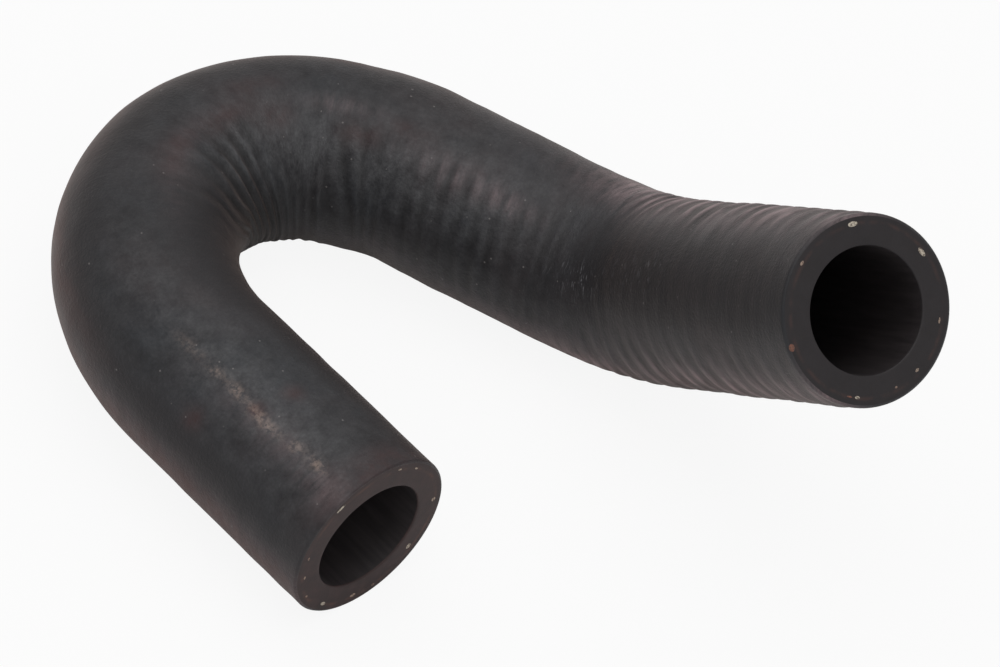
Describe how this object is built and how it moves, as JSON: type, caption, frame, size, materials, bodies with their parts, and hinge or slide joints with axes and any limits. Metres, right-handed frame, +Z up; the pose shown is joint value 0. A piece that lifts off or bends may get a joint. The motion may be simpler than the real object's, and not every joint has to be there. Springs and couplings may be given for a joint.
{
  "type": "radiator hose",
  "caption": "Moulded rubber coolant hose with a U-bend beside its short leg and a second bend that lifts its long leg, cut square at both ends.",
  "frame": {"origin": "centre of the bounding box's bottom, on the level surface the hose lies on", "axes": "+Z up, +X along the hose's longest reach towards the raised end of the long leg, both open ends towards -Y"},
  "size_m": [0.1342, 0.1042, 0.0682],
  "materials": {
    "rubber": "matte charcoal-black rubber with a light dusty bloom"
  },
  "bodies": {
    "root": {"hose": "rubber"}
  },
  "joints": []
}
